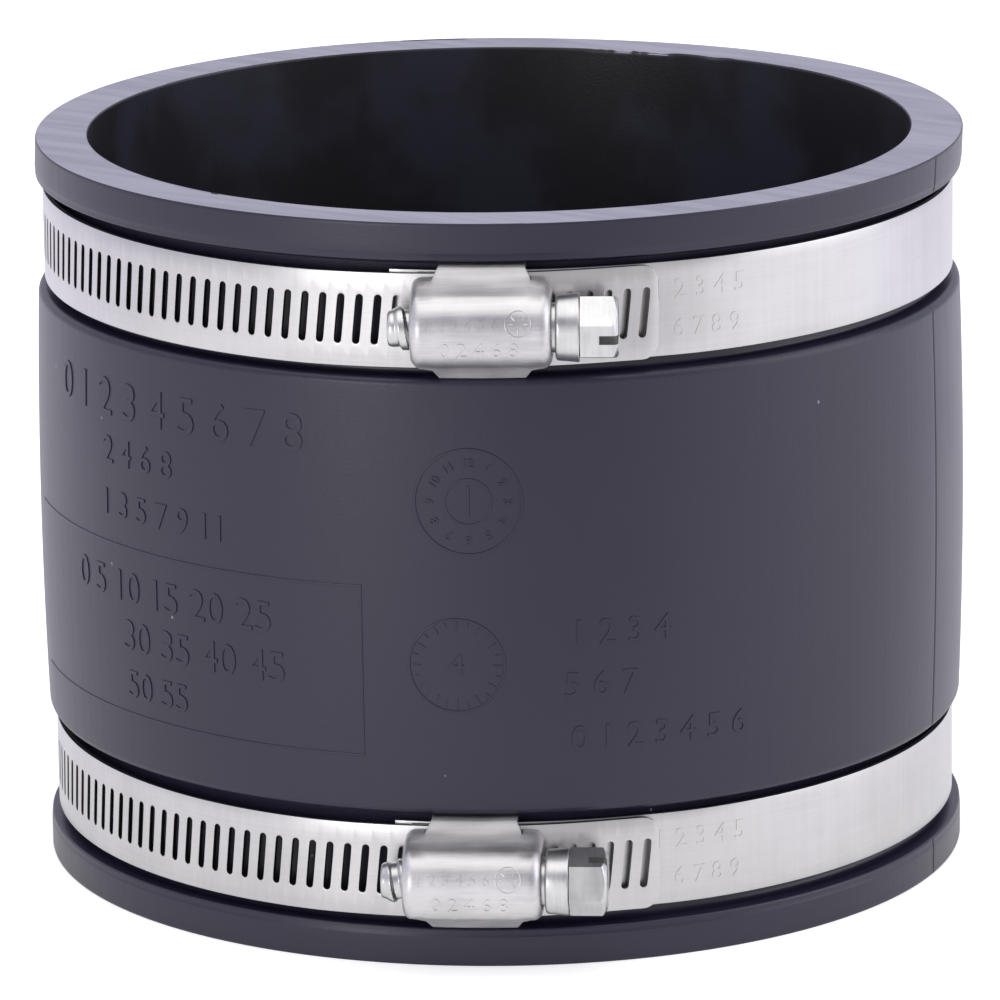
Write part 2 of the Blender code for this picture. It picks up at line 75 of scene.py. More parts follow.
def sleeve_section():
    """Radius and height pairs round the whole wall: the outside of the upper half from mid-height, over its
    lip and down the bore, then the same mirrored."""
    top = BELLY_HALF - SHOULDER
    heights = np.linspace(0, top, 26)
    upper = [np.stack([belly_radius(heights), heights], axis=1)]
    upper += [bow((belly_radius(top) - SHOULDER, top), SHOULDER, 8, 90, 9)]
    upper += [bow((GROOVE + 0.5, BELLY_HALF + 0.5), 0.5, 270, 180, 4)]
    upper += [bow((GROOVE + 0.9, LIP_FOOT - 0.9), 0.9, 180, 90, 6)]
    upper += [bow((LIP_RADIUS - 0.4, LIP_FOOT + 0.32), 0.32, -90, 0, 5)]
    upper += [np.array([(LIP_RADIUS - 0.08, LIP_FOOT + 0.95), (LIP_RADIUS - 0.02, LIP_FOOT + 1.05),
                        (LIP_RADIUS, LIP_FOOT + 1.2), (LIP_RADIUS, LIP_FOOT + 2.4),
                        (LIP_RADIUS, LIP_FOOT + 3.4), (LIP_RADIUS, HALF_LENGTH - 0.6)])]
    upper += [bow((LIP_RADIUS - 0.28, HALF_LENGTH - 0.28), 0.28, 0, 90, 4)]
    across = np.linspace(LIP_RADIUS - 0.7, BORE + 0.6, 9)
    upper += [np.stack([across, np.full(9, HALF_LENGTH)], axis=1)]
    upper += [bow((BORE + 0.3, HALF_LENGTH - 0.3), 0.3, 90, 180, 4)]
    bore_heights = np.array([50.55, 50.4, 50.2, 49.8, 44.0, 32.0, 20.0, 8.0])
    upper += [np.stack([np.full(8, BORE), bore_heights], axis=1)]
    upper = np.concatenate(upper)
    return np.concatenate([upper, upper[:0:-1] * (1, -1)])


def grid_faces(rows, columns, wrap_rows=False, wrap_columns=False):
    """The squares between neighbours of a grid of points. Where it wraps, its last row or column is joined
    to its first."""
    i = np.arange(rows if wrap_rows else rows - 1)[:, None]
    j = np.arange(columns if wrap_columns else columns - 1)[None, :]
    k, m = (i + 1) % rows, (j + 1) % columns
    square = [i * columns + j, i * columns + m, k * columns + m, k * columns + j]
    return np.stack(np.broadcast_arrays(*square), axis=-1).reshape(-1, 4)


def add_piece(name, points, faces, material, smooth_angle=40):
    """A mesh object from points in millimetres and faces, smooth but for edges sharper than the angle."""
    mesh = bpy.data.meshes.new(name)
    mesh.from_pydata((np.asarray(points) * 0.001).tolist(), [], [tuple(map(int, face)) for face in faces])
    mesh.validate()
    mesh.shade_smooth()
    mesh.set_sharp_from_angle(angle=radians(smooth_angle))
    piece = bpy.data.objects.new(name, mesh)
    bpy.context.scene.collection.objects.link(piece)
    mesh.materials.append(material)
    return piece


def round_pipe(angle, radius, height):
    """Points at angles from the front, radii and heights: x is the radius times the sine, y is minus the
    radius times the cosine."""
    angle, radius, height = np.broadcast_arrays(angle, radius, height)
    return np.stack([radius * np.sin(angle), -radius * np.cos(angle), height], axis=-1)


def bump_near(value, centre, width):
    """A bell curve: 1 at the centre and near 0 a few widths away."""
    return np.exp(-((value - centre) / width) ** 2)


def sleeve_points():
    """The section carried round the pipe axis, with what the mould and the knife left on it: a groove at
    each mould line, a slow swell of the trimmed faces as a sum of sines of the turn, ragged nicks in the
    inner edge at the back, where the lip also sags, and a lean of the upper lip to the right."""
    section = sleeve_section()
    turns = [np.linspace(0, tau, 461)[:-1], np.radians(np.linspace(138, 176, 120))]
    for line in MOULD_LINES:
        turns.append(np.radians(line % 360) + np.array([-0.5, -0.25, -0.12, 0, 0.12, 0.25, 0.5]) / OUTSIDE)
    turn = np.unique(np.concatenate(turns))[:, None]
    radius, height = section[None, :, 0], section[None, :, 1]
    outside = (radius > LIP_RADIUS - 1.4) & (np.abs(height) < HALF_LENGTH - 0.2)
    from_lines = [np.angle(np.exp(1j * (turn - radians(at)))) * OUTSIDE for at in MOULD_LINES]
    line = sum(bump_near(distance, 0, 0.17) for distance in from_lines)
    end_face = np.abs(height) > HALF_LENGTH - 0.01
    inner_edge = np.clip((BORE + 1.4 - radius) / 0.9, 0, 1)
    inner_edge = inner_edge * np.clip((height - HALF_LENGTH + 0.5) / 0.3, 0, 1)
    ragged = 0.55 + 0.25 * np.sin(turn * 83) + 0.2 * np.sin(turn * 211 + 1)
    nick = bump_near(turn, radians(161), 0.06) * ragged
    nick = nick + 0.6 * bump_near(turn, radians(155.5), 0.028) + 0.3 * bump_near(turn, radians(147), 0.03)
    swell = 0.05 * np.sin(turn * 3 + 1) + 0.03 * np.sin(turn * 11) - 0.09
    new_radius = radius - 0.16 * line * outside + 0.45 * nick * inner_edge
    new_height = height + np.sign(height) * end_face * swell - 0.5 * nick * inner_edge
    new_height = new_height - 0.3 * bump_near(turn, SAG_AT, 0.5) * np.clip((height - LIP_FOOT) / 2, 0, 1)
    points = round_pipe(turn, new_radius, new_height)
    points[..., 0] += 0.25 * np.clip((height - 45.0) / 6.0, 0, 1)
    return points, turn.size, section.shape[0]


class Value:
    """A number that varies over a surface. An operator on it adds the Math node that works it out."""

    def __init__(self, finish, socket):
        self.finish, self.socket = finish, socket

    def math(self, operation, *values):
        return self.finish.math(operation, *values)

    def __add__(self, other):
        return self.math("ADD", self, other)

    def __mul__(self, other):
        return self.math("MULTIPLY", self, other)

    def __sub__(self, other):
        return self.math("SUBTRACT", self, other)

    def __rsub__(self, other):
        return self.math("SUBTRACT", other, self)

    def __truediv__(self, other):
        return self.math("DIVIDE", self, other)

    __radd__, __rmul__ = __add__, __mul__

    def between(self, low, high):
        """0 below the low value, 1 above the high one, and a smooth rise from one to the other."""
        return self.finish.node("MapRange", {0: self, 1: low, 2: high}, interpolation_type="SMOOTHSTEP")


class Finish:
    """A material whose constant values are set on its shader, and what varies comes from nodes."""

    def __init__(self, name, colour, roughness, metallic=0.0, **plain):
        self.material = bpy.data.materials.new(name)
        self.material.use_nodes = True
        self.tree = self.material.node_tree
        self.shader = self.tree.nodes["Principled BSDF"]
        self.set("Base Color", (*colour, 1.0))
        self.set("Roughness", roughness)
        self.set("Metallic", metallic)
        for socket, value in plain.items():
            self.set(socket.replace("_", " ").title(), value)

    def feed(self, socket, value):
        """Set a socket, or link it where the value comes from another node."""
        if isinstance(value, Value):
            self.tree.links.new(value.socket, socket)
        else:
            socket.default_value = value

    def set(self, name, value):
        self.feed(self.shader.inputs[name], value)

    def math(self, operation, *values):
        """A Math node of one kind on its values."""
        return self.node("Math", dict(enumerate(values)), operation=operation)

    def node(self, kind, sockets, output=0, **settings):
        """Add a node: its settings first, then the values or links of its sockets."""
        node = self.tree.nodes.new("ShaderNode" + kind)
        for setting, value in settings.items():
            setattr(node, setting, value)
        for socket, value in sockets.items():
            self.feed(node.inputs[socket], value)
        return Value(self, node.outputs[output])

    def place(self):
        """The point on the piece, in metres from the pipe axis at mid-height."""
        return self.node("TexCoord", {}, output=3)

    def facing(self):
        """The way the surface looks, as the piece's own axes have it."""
        return self.node("TexCoord", {}, output=1)

    def part(self, vector, axis):
        """One coordinate of a vector: 0 for x, 1 for y, 2 for z."""
        return self.node("SeparateXYZ", {0: vector}, output=axis)

    def stretched(self, vector, scale, turn=(0, 0, 0)):
        """A vector turned and then scaled along each axis, for a pattern drawn out in one direction."""
        turned = self.node("Mapping", {"Vector": vector, "Rotation": turn})
        return self.node("VectorMath", {0: turned, 1: scale}, operation="MULTIPLY")

    def flat(self, vector):
        """A vector with its height left out."""
        return self.node("VectorMath", {0: vector, 1: (1, 1, 0)}, operation="MULTIPLY")

    def spread(self, vector):
        """How far a place lies from the pipe axis: the length of its flat vector."""
        return self.node("VectorMath", {0: self.flat(vector)}, output=1, operation="LENGTH")

    def ray(self, kind):
        """1 for a ray of this kind: 0 from the camera, 3 mirrored, 6 passed through."""
        return self.node("LightPath", {}, output=kind)

    def noise(self, vector, scale, detail=2.0, roughness=0.5):
        """Cloudy noise around a half."""
        return self.node("TexNoise", {"Vector": vector, "Scale": scale, "Detail": detail,
                                      "Roughness": roughness})

    def blend(self, share, first, second):
        """One colour where the share is 0 and the other where it is 1."""
        colours = [(*c, 1.0) if isinstance(c, tuple) else c for c in (first, second)]
        return self.node("Mix", {0: share, 6: colours[0], 7: colours[1]}, output=2, data_type="RGBA")

    def bump(self, height, strength, distance):
        """Tilt the surface's normal by a height in metres."""
        self.set("Normal", self.node("Bump", {"Height": height, "Strength": strength, "Distance": distance}))


def rubber_finish():
    """Dark blue-grey PVC: fine grain and faint drag marks down the mould, a few pale flecks, a bluer cloud
    here and there in the bore, and the trimmed end faces paler with knife marks across them. They are paler
    partly as cut rubber is and partly through a painted sheen."""
    rubber = Finish("moulded_rubber", (0.022, 0.0205, 0.034), 0.4)
    place = rubber.place()
    trimmed = rubber.math("ABSOLUTE", rubber.part(rubber.facing(), 2)).between(0.75, 0.85)
    trimmed = trimmed * rubber.math("ABSOLUTE", rubber.part(place, 2)).between(0.0497, 0.0499)
    bore = 1 - rubber.spread(place).between(0.0573, 0.0576)
    drag = rubber.noise(rubber.stretched(place, (900, 900, 12)), 1.0, 3.0)
    cloud = rubber.noise(place, 55, 4.0)
    grain = rubber.noise(place, 2600, 2.0)
    knife = rubber.noise(rubber.stretched(place, (45, 420, 45), turn=(0, 0, 0.6)), 1.0, 3.0)
    ragged = rubber.node("VectorMath", {0: place, 1: rubber.stretched(grain, (0.0003, 0.0002, 0.0004))})
    fleck = rubber.node("TexVoronoi", {"Vector": ragged, "Scale": 150, "Randomness": 1.0})
    rare = rubber.node("TexVoronoi", {"Vector": ragged, "Scale": 150, "Randomness": 1.0}, output=1)
    rare = rare.between(0.38, 0.42)
    fleck = (1 - fleck.between(0.016, 0.04)) * rare
    skin = rubber.blend(cloud * 0.7 + drag * 0.3, (0.0145, 0.0127, 0.032), (0.022, 0.0198, 0.041))
    skin = rubber.blend(fleck * 0.6, skin, (0.42, 0.42, 0.46))
    inside = rubber.blend(cloud.between(0.45, 0.62), (0.0142, 0.014, 0.0178), (0.025, 0.0245, 0.039))
    skin = rubber.blend(bore, skin, inside)
    # The trimmed faces' pale, bluish colour is partly the paler cut rubber and partly a painted sheen: the
    # light such a face gives when seen at a grazing angle.
    cut = rubber.blend(knife.between(0.3, 0.7), (0.258, 0.254, 0.322), (0.328, 0.323, 0.4))
    rubber.set("Base Color", rubber.blend(trimmed, skin, cut))
    rubber.set("Roughness", 0.3 + cloud * 0.08 + drag * 0.06 + trimmed * 0.2)
    rubber.bump(grain * 0.9 + drag * 0.8 + knife * trimmed * 2.0, 0.4, 0.00006)
    return rubber.material


rubber = rubber_finish()
points, turn_count, section_count = sleeve_points()
sleeve = add_piece("rubber_sleeve", points.reshape(-1, 3),
                   grid_faces(turn_count, section_count, wrap_rows=True, wrap_columns=True), rubber)
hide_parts("coupling_sleeve")
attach(sleeve, "sleeve")


# Mould marks. Lines, two dials and rows of plain figures cut into the mould stand up a little from the
# rubber of the belly: a frame with figures at the left, a dial of hours, a ring of ticks, and more figures.

MARKS_RADIUS = 64.7
FIGURE_ROWS = (("1 2 3 4", 5.0, 14.0, -5.0), ("5 6 7", 5.0, 11.5, -12.2),
               ("0 1 2 3 4 5 6", 4.9, 19.0, -19.6), ("0 1 2 3 4 5 6 7 8", 7.4, -46.0, 21.4),
               ("2 4 6 8", 5.4, -50.0, 14.2),
               ("1 3 5 7 9 11", 5.2, -46.0, 6.9), ("0 5 10 15 20 25", 6.2, -46.0, -4.4),
               ("30 35 40 45", 6.2, -40.0, -11.2), ("50 55", 5.6, -47.0, -18.0))
SUNK = 0.12


def bead(path, width, height, closed):
    """A low rounded rib carried along a path of arc length and height pairs: five points across it, the
    middle one highest and the outer two sunk, offset at right angles to the path."""
    step = np.roll(path, -1, axis=0) - np.roll(path, 1, axis=0) if closed else np.gradient(path, axis=0)
    side = np.stack([step[:, 1], -step[:, 0]], axis=1) / np.linalg.norm(step, axis=1)[:, None]
    across = np.array([-0.5, -0.28, 0, 0.28, 0.5]) * width
    lift = np.array([-SUNK, 0.75 * height, height, 0.75 * height, -SUNK])
    flat = path[:, None, :] + side[:, None, :] * across[None, :, None]
    points = np.concatenate([flat, np.broadcast_to(lift[None, :, None], (*flat.shape[:2], 1))], axis=2)
    faces = [tuple(face) for face in grid_faces(len(path), 5, wrap_rows=closed, wrap_columns=True)]
    if not closed:
        faces += [(4, 3, 2, 1, 0), tuple(range(5 * len(path) - 5, 5 * len(path)))]
    return points.reshape(-1, 3), faces


def figures(text, size, centre, turn=0.0, lift=0.16):
    """Plain figures as a raised mesh, turned and moved to a centre on the flat pattern. Their feet are sunk
    in it as a bead's are."""
    curve = bpy.data.curves.new("figures", "FONT")
    curve.body, curve.size, curve.extrude = text, size, (lift + SUNK) / 2
    curve.align_x, curve.align_y = "CENTER", "CENTER"
    curve.resolution_u = 3
    shape = bpy.data.objects.new("figures", curve)
    bpy.context.scene.collection.objects.link(shape)
    solid = bpy.data.meshes.new_from_object(shape.evaluated_get(bpy.context.evaluated_depsgraph_get()))
    points = np.array([vert.co[:] for vert in solid.vertices])
    faces = [tuple(face.vertices) for face in solid.polygons]
    bpy.data.objects.remove(shape)
    points[:, 2] += (lift - SUNK) / 2
    x, y = points[:, 0].copy(), points[:, 1].copy()
    points[:, 0] = centre[0] + x * cos(turn) - y * sin(turn)
    points[:, 1] = centre[1] + x * sin(turn) + y * cos(turn)
    return points, faces


def ring_path(centre, radius, count=72):
    """Points round a circle on the flat pattern."""
    turn = np.linspace(0, tau, count, endpoint=False)
    return np.stack([centre[0] + radius * np.cos(turn), centre[1] + radius * np.sin(turn)], axis=1)


def together(parts):
    """One list of points and one of faces from several."""
    points, faces, start = [], [], 0
    for some_points, some_faces in parts:
        points.append(some_points)
        faces += [tuple(int(i) + start for i in face) for face in some_faces]
        start += len(some_points)
    return np.concatenate(points), faces


def belly_marks():
    """All the raised marks on the flat pattern, wrapped on the belly: the angle is the arc length over the
    radius. Each row of figures has its size, its angle in degrees and its height."""
    r = MARKS_RADIUS
    left, right = radians(-79) * r, radians(-17.05) * r
    run = np.linspace(left, right, 60)
    top = np.stack([run, np.full(60, 1.45)], axis=1)
    low = np.stack([run, np.full(60, -22.0)], axis=1)
    end = np.stack([np.full(24, right), np.linspace(1.6, -22.15, 24)], axis=1)
    parts = [bead(top, 0.42, 0.13, False), bead(low, 0.42, 0.13, False), bead(end, 0.42, 0.13, False)]
    date, count = (radians(-4.0) * r, 13.45), (radians(-5.6) * r, -9.0)
    parts += [bead(ring_path(date, 7.15), 0.42, 0.15, True)]
    parts += [bead(ring_path(date, 3.1, 48), 0.36, 0.12, True)]
    parts += [bead(ring_path(count, 6.4), 0.42, 0.15, True)]
    for number in range(1, 13):
        turn = radians(90 - 30 * number)
        place = (date[0] + 5.2 * cos(turn), date[1] + 5.2 * sin(turn))
        parts.append(figures(str(number), 1.7, place, turn - pi / 2))
    for number in range(24):
        turn = tau * number / 24
        reach = np.array([5.3 if number % 2 else 4.8, 6.0])
        parts.append(bead(np.array(count) + reach[:, None] * (cos(turn), sin(turn)), 0.3, 0.12, False))
    arrow = np.array([(0, -2.1), (0, 2.2)]) + date
    parts.append(bead(arrow, 0.45, 0.16, False))
    parts.append(figures("4", 4.2, count))
    for text, size, angle, height in FIGURE_ROWS:
        parts.append(figures(text, size, (radians(angle) * r, height), lift=0.13))
    points, faces = together(parts)
    placed = round_pipe(points[:, 0] / r, belly_radius(points[:, 1]) + points[:, 2], points[:, 1])
    return placed, faces


marks = add_piece("mould_marks", *belly_marks(), rubber)
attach(marks, "sleeve")


# Bands. Each is a strip of rolled stainless steel with a row of leaning slots punched in its outer end for
# the screw's thread. It passes over its own inner end under the housing.

LIFT_FACE = 62.2
SEAT_FACE = 62.65
TOP_FACE = 63.5
BAND_SHEET = 0.6
BAND_HALF = 6.35
INNER_END = 11.8
STEP_START = 17.92
STEP_RUN = 14
CLIMB_END = 23.0
CLIMB_RUN = 85
TAIL = 23.8
TAIL_BENT = 8
SLOT_TO_TAIL = 1.9
SLOT_HALF = 0.525
SLOT_REACH = 2.875
SLOTS = 51
PITCH_RADIUS = 63.8
PITCH = 2.54
LAST_SLOT = tau + (TAIL - SLOT_TO_TAIL) / PITCH_RADIUS
CLAMP_AT = 37.85
CLAMPS = (("upper", CLAMP_AT, radians(-2.08), -0.17), ("lower", -CLAMP_AT, radians(-3.85), 0.42))


def ease(value, start, end):
    """A smooth rise from 0 at the start to 1 at the end: three times the square less twice the cube."""
    share = np.clip((value - start) / (end - start), 0, 1)
    return share * share * (3 - 2 * share)


def band_face(angle):
    """The inner face's radius: out a little past the housing, up over the inner end, and up at the tail,
    with the square of the distance along its bent part. With it, how far the strip lies to one side: its
    two layers don't line up, and the tail runs askew."""
    step_start = STEP_START / LIFT_FACE
    out = ease(angle, step_start, step_start + STEP_RUN / SEAT_FACE) * (SEAT_FACE - LIFT_FACE)
    over_end = tau - CLIMB_END / PITCH_RADIUS
    over = ease(angle, over_end - CLIMB_RUN / PITCH_RADIUS, over_end)
    tail = np.maximum((angle - tau) * PITCH_RADIUS - (TAIL - TAIL_BENT), 0) / TAIL_BENT
    askew = np.maximum((angle - over_end) * PITCH_RADIUS / (TAIL + CLIMB_END), 0)
    shift = 0.2 * (1 - 2 * over) + 0.5 * askew
    return LIFT_FACE + out + over * (TOP_FACE - SEAT_FACE) + 0.5 * tail ** 2, shift


def slot_cell():
    """A slot's edge and the cell's border, 24 points each in step, and the same border for the tail's cell.
    The slot leans as the thread does: by the angle whose tangent is the pitch over one turn's length."""
    sides = np.array([-2.3, -1.15, 0, 1.15, 2.3])
    cap = np.radians([20, 50, 70, 90, 110, 130, 160])
    arch = np.stack([SLOT_HALF * np.cos(cap), SLOT_REACH + SLOT_HALF * np.sin(cap)], axis=1)
    edge = np.concatenate([np.stack([np.full(5, SLOT_HALF), sides], axis=1), arch,
                           np.stack([np.full(5, -SLOT_HALF), -sides], axis=1), -arch])
    lean = np.arctan(PITCH / (tau * 3.8))
    edge = edge @ np.array([[cos(lean), -sin(lean)], [sin(lean), cos(lean)]])
    rise = np.array([-3.2, -1.6, 0, 1.6, 3.2])
    half, top = PITCH / 2, BAND_HALF
    over = np.array([(half, 4.7), (half, top), (0.6, top), (0, top), (-0.6, top), (-half, top),
                     (-half, 4.7)])
    border = np.concatenate([np.stack([np.full(5, half), rise], axis=1), over,
                             np.stack([np.full(5, -half), -rise], axis=1), -over])
    corner = np.array([(-0.3 + 2.2 * cos(t), 4.15 + 2.2 * sin(t)) for t in np.radians([14, 50, 75])])
    tail = border.copy()
    tail[0:5, 0] = SLOT_TO_TAIL
    tail[5:8], tail[8], tail[9] = corner, (-0.3, top), (-0.8, top)
    tail[21:24], tail[20], tail[19] = corner[::-1] * (1, -1), (-0.3, -top), (-0.8, -top)
    return edge, border, tail


def band_points(turn, height, ahead):
    """The strip's outer face: a plain grid, then one cell to a slot, all bent to the strip's path."""
    edge, border, tail = slot_cell()
    near = edge + (border - edge) * 0.1
    numbers = np.arange(SLOTS)[:, None, None]
    cells = np.stack([edge, near, border])[None].repeat(SLOTS, axis=0)
    cells[-1, 2] = tail
    angle = LAST_SLOT - (SLOTS - 1 - numbers) * PITCH / PITCH_RADIUS + cells[..., 0] / PITCH_RADIUS
    pattern = np.stack([angle, cells[..., 1]], axis=-1).reshape(-1, 2)
    ring = grid_faces(3, 24, wrap_columns=True)
    faces = (ring[None] + (np.arange(SLOTS) * 72)[:, None, None]).reshape(-1, 4)
    start = -INNER_END / LIFT_FACE
    stop = LAST_SLOT - (SLOTS - 0.5) * PITCH / PITCH_RADIUS
    run = np.linspace(start, stop, 190)
    rise = np.array([-BAND_HALF, -4.7, -3.2, -1.6, 0, 1.6, 3.2, 4.7, BAND_HALF])
    plain = np.stack(np.meshgrid(run, rise, indexing="ij"), axis=-1).reshape(-1, 2)
    faces = np.concatenate([faces, grid_faces(190, 9) + len(pattern)])
    pattern = np.concatenate([pattern, plain])
    radius, shift = band_face(pattern[:, 0])
    around = pattern[:, 0] + turn + ahead * PITCH / PITCH_RADIUS
    return round_pipe(around, radius + BAND_SHEET, pattern[:, 1] + shift + height), faces


def tidy_shell(piece, centre):
    """Merge doubled points and turn every face to look away from a centre."""
    shell = bmesh.new()
    shell.from_mesh(piece.data)
    bmesh.ops.remove_doubles(shell, verts=shell.verts, dist=1e-6)
    bmesh.ops.recalc_face_normals(shell, faces=shell.faces)
    balance = sum((face.calc_center_median() - Vector(centre)).dot(face.normal) * face.calc_area()
                  for face in shell.faces)
    if balance < 0:
        bmesh.ops.reverse_faces(shell, faces=shell.faces)
    shell.to_mesh(piece.data)
    shell.free()
    piece.data.shade_smooth()


def sheet_metal(piece, thickness, edge):
    """Give a skin its thickness on the inside and break its edges."""
    wall = piece.modifiers.new("Sheet", "SOLIDIFY")
    wall.thickness, wall.offset, wall.use_even_offset = thickness * 0.001, -1, True
    soften = piece.modifiers.new("Broken edges", "BEVEL")
    soften.width, soften.segments, soften.limit_method = edge * 0.001, 2, "ANGLE"
    soften.angle_limit = radians(50)


def strip_finish():
    """Cold-rolled stainless strip: fine lines along its length, faint cross marks and cloudy gloss. Painted
    shade makes it dull and dark on its inner face and its punched edges, which don't look away from the pipe
    axis, and where the tail covers it."""
    strip = Finish("rolled_strip", (0.63, 0.62, 0.61), 0.3, 1.0)
    place = strip.place()
    along = strip.noise(strip.stretched(place, (40, 40, 5200)), 1.0, 3.0)
    across = strip.noise(strip.stretched(place, (1100, 1100, 40)), 1.0, 2.0)
    cloud = strip.noise(place, 70, 3.0)
    shade = along * 0.25 + across * 0.2 + cloud * 0.55
    outward = strip.node("VectorMath", {0: strip.facing(), 1: strip.flat(place)}, output=1,
                         operation="DOT_PRODUCT")
    # Painted shade: faces that don't look away from the pipe axis (the inner face, the slot walls and the
    # strip's edges) take a near-black colour.
    outside = (outward * 16.0).between(0.3, 0.8)
    bright = strip.blend(shade.between(0.3, 0.7), (0.52, 0.51, 0.513), (0.62, 0.61, 0.614))
    # Painted shade: where the tail covers the inner layer, between about 8.5 and 20 mm to the side, its
    # outer face is darkened by three quarters, as the shadowed gap between the layers.
    side = strip.part(place, 0)
    tail_shade = side.between(0.0085, 0.0095) * (1 - side.between(0.0199, 0.0204))
    tail_shade = tail_shade * (1 - strip.part(place, 1).between(-0.08, -0.07))
    tail_shade = tail_shade * (1 - strip.spread(place).between(0.0634, 0.0636))
    outside = outside * (1 - tail_shade * 0.75)
    # The near-black colour is painted shade; the outer face keeps the bright steel.
    strip.set("Base Color", strip.blend(outside, (0.11, 0.105, 0.105), bright))
    strip.set("Roughness", 0.24 + cloud * 0.14 + along * 0.06)
    strip.bump(along * 0.4 + across * 0.25, 0.2, 0.00003)
    return strip.material


def strip_marks(turn, height, ahead):
    """Two rows of shallow figures past the tail: places on the flat strip, wrapped to its outer face."""
    points, faces = together([figures("1 2 3 4 5", 3.8, (30.5, 2.5), lift=0.045),
                              figures("6 7 8 9", 3.6, (31.5, -2.8), lift=0.045)])
    angle = points[:, 0] / PITCH_RADIUS
    radius, shift = band_face(angle)
    around = angle + turn + ahead * PITCH / PITCH_RADIUS
    return round_pipe(around, radius + BAND_SHEET + points[:, 2], points[:, 1] + shift + height), faces


strip_steel = strip_finish()
for name, height, turn, ahead in CLAMPS:
    band = add_piece(name + "_strip", *band_points(turn, height, ahead), strip_steel)
    tidy_shell(band, (0, 0, height * 0.001))
    sheet_metal(band, BAND_SHEET, 0.06)
    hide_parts(name + "_band")
    stamps = add_piece(name + "_strip_marks", *strip_marks(turn, height, ahead), strip_steel)
    for piece in (band, stamps):
        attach(piece, name + "_band")


# Housings. Each is pressed from stainless sheet: a dome over the screw with its ends rolled in, and a tab
# from each side that passes the band's edge and folds under it. The sheet buckles where the tabs leave it.

DOME = 5.35
SCREW_AXIS = 67.95
HOUSING_SHEET = 0.5
HOUSING_HALF = 9.3
END_CURL = 1.6
CURL_RINGS = 9
CREASE_HALF = 5.85
FOOT_HALF = 6.0
FOOT_RADIUS = 64.4
TAB_HALF = 6.55
PRESS_DEPTH = 0.1


def round_fall(x, radius):
    """How far a circle of this radius falls away from its top at a distance to the side."""
    return radius - np.sqrt(radius ** 2 - x ** 2)


def dome_skin():
    """Three grids over the dome: the place along the screw, out from the pipe axis and across the band.
    Its sections have an arched top and straight sloping sides. They are set along the screw and drawn in at
    both ends."""
    curl = np.radians(np.linspace(90, 0, CURL_RINGS))
    ends = np.stack([-HOUSING_HALF + END_CURL * (1 - np.sin(curl)), END_CURL * (1 - np.cos(curl))], axis=1)
    middle = np.linspace(-TAB_HALF, TAB_HALF, 29)
    stations = np.concatenate([ends, np.stack([middle, np.zeros(29)], axis=1), ends[::-1] * (-1, 1)])
    arch = np.radians(np.linspace(-66, 66, 45))
    x, inset = stations[:, :1], stations[:, 1:]
    out = SCREW_AXIS + (DOME - inset) * np.cos(arch)
    side = (DOME - inset) * np.sin(arch)
    share = np.array([1 / 3, 2 / 3, 1])
    crease = CREASE_HALF + 0.25 * (1 - ease(np.abs(x), 6.2, 7.4)) - inset
    slope_out = out[:, -1:] + (SCREW_AXIS - 1.05 - out[:, -1:]) * share
    slope_side = side[:, -1:] + (crease - side[:, -1:]) * (0.9 * share + 0.1 * share ** 2)
    out = np.concatenate([slope_out[:, ::-1], out, slope_out], axis=1)
    side = np.concatenate([-slope_side[:, ::-1], side, slope_side], axis=1)
    x = np.broadcast_to(x, out.shape)
    dents = ((-7.4, 5.0, 0.42), (7.5, 5.0, 0.45), (-7.4, -5.0, 0.4), (7.5, -5.0, 0.4))
    buckle = sum(depth * bump_near(x, at, 0.75) * bump_near(side, level, 0.7) for at, level, depth in dents)
    press = PRESS_DEPTH * bump_near(out, SCREW_AXIS + DOME, 0.5) * (1 - ease(np.abs(x), 6.5, 8.5))
    hollow = 0.12 * bump_near(np.abs(side), 5.35, 0.5) * (1 - ease(np.abs(x), 5.5, 7.0))
    return x, out - buckle - press, side * (1 - 0.02 * buckle) - np.sign(side) * (0.35 * buckle + hollow)


def housing_points():
    """The dome, the feet beside the tabs, and the two tabs carried down, round the bend and under the band.
    Each piece of the skin starts on the dome's crease, at the ends or along the middle of its stations."""
    x, out, side = dome_skin()
    rows, columns = x.shape
    points = [np.stack([x, out, side], axis=-1).reshape(-1, 3)]
    faces = [grid_faces(rows, columns)]
    start = rows * columns
    down = np.array([(6.4, 66.52), (6.75, 66.07), (7.1, 65.62), (7.38, 65.25), (7.52, 64.95), (7.55, 63.6)])
    path = np.concatenate([down, bow((6.95, 62.15), 0.6, 0, -90, 7), [(5.8, 61.55), (4.2, 61.55)]])
    narrow = np.append(np.clip((down[:, 0] - 6.1) / 1.45, 0, 1), np.ones(len(path) - len(down)))
    narrow = 1 - 0.13 * narrow
    first, last = CURL_RINGS, rows - CURL_RINGS
    for sign, column in ((-1, 0), (1, columns - 1)):
        crease = np.stack([x[:, column], out[:, column], side[:, column]], axis=-1)
        inset = CREASE_HALF - np.minimum(np.abs(side[:, column]), CREASE_HALF)
        fall = round_fall(x[:, column], TOP_FACE + BAND_SHEET)
        foot = np.stack([x[:, column], FOOT_RADIUS - fall, sign * (FOOT_HALF - inset)], axis=-1)
        along = crease[first:last, 0] * narrow[:, None]
        fall = path[:, 1:] - round_fall(along, path[:, 1:])
        tab = np.stack([along, fall, np.broadcast_to(sign * path[:, :1], along.shape)], axis=-1)
        skins = [np.stack([crease[part], (crease[part] + foot[part]) / 2, foot[part]])
                 for part in (slice(0, first + 1), slice(last - 1, rows))]
        skins.append(np.concatenate([crease[None, first:last], tab]))
        for skin in skins:
            points.append(skin.reshape(-1, 3))
            faces.append(grid_faces(*skin.shape[:2]) + start)
            start += skin[..., 0].size
    local = np.concatenate(points)
    return np.stack([local[:, 0], -local[:, 1], local[:, 2]], axis=-1), np.concatenate(faces)


